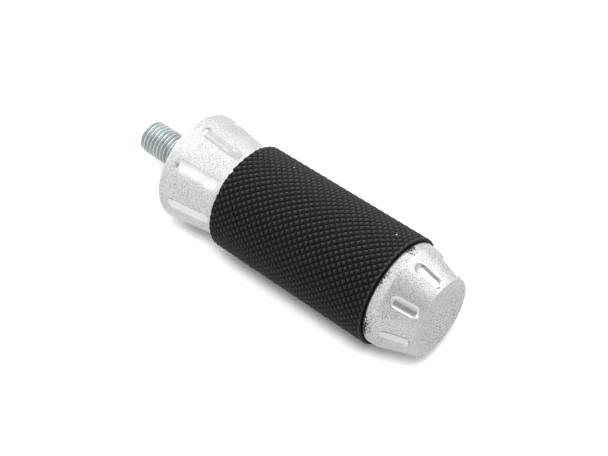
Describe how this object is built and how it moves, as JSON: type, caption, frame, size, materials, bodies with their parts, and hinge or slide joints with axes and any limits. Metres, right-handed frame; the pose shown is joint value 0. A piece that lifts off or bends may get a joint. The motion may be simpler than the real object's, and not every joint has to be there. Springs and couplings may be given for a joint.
{
  "type": "foot peg",
  "caption": "Round motorcycle toe peg: threaded stud, fluted cast collar, knurled rubber sleeve and slotted, dished end cap.",
  "frame": {"origin": "centre of the collar's back face, where the stud leaves it", "axes": "+X runs along the peg from the stud to the end cap, +Z points through one of the eight flutes and +Y completes the frame"},
  "size_m": [0.0841, 0.026, 0.0262],
  "materials": {
    "zinc_plated_steel": "bright bluish zinc plate on a rolled thread",
    "cast_aluminium": "fine shot-blasted casting, matte",
    "tube_steel": "drawn steel tube, lightly oiled",
    "knurled_rubber": "matte black moulded rubber with a fine diamond knurl",
    "spring_steel": "dark oil-blackened spring steel"
  },
  "bodies": {
    "root": {"mounting_stud": "zinc_plated_steel", "mount_collar": "cast_aluminium", "core_tube": "tube_steel", "grip_sleeve": "knurled_rubber", "end_cap": "cast_aluminium", "collar_roll_pin": "spring_steel", "cap_roll_pin": "spring_steel"}
  },
  "joints": []
}
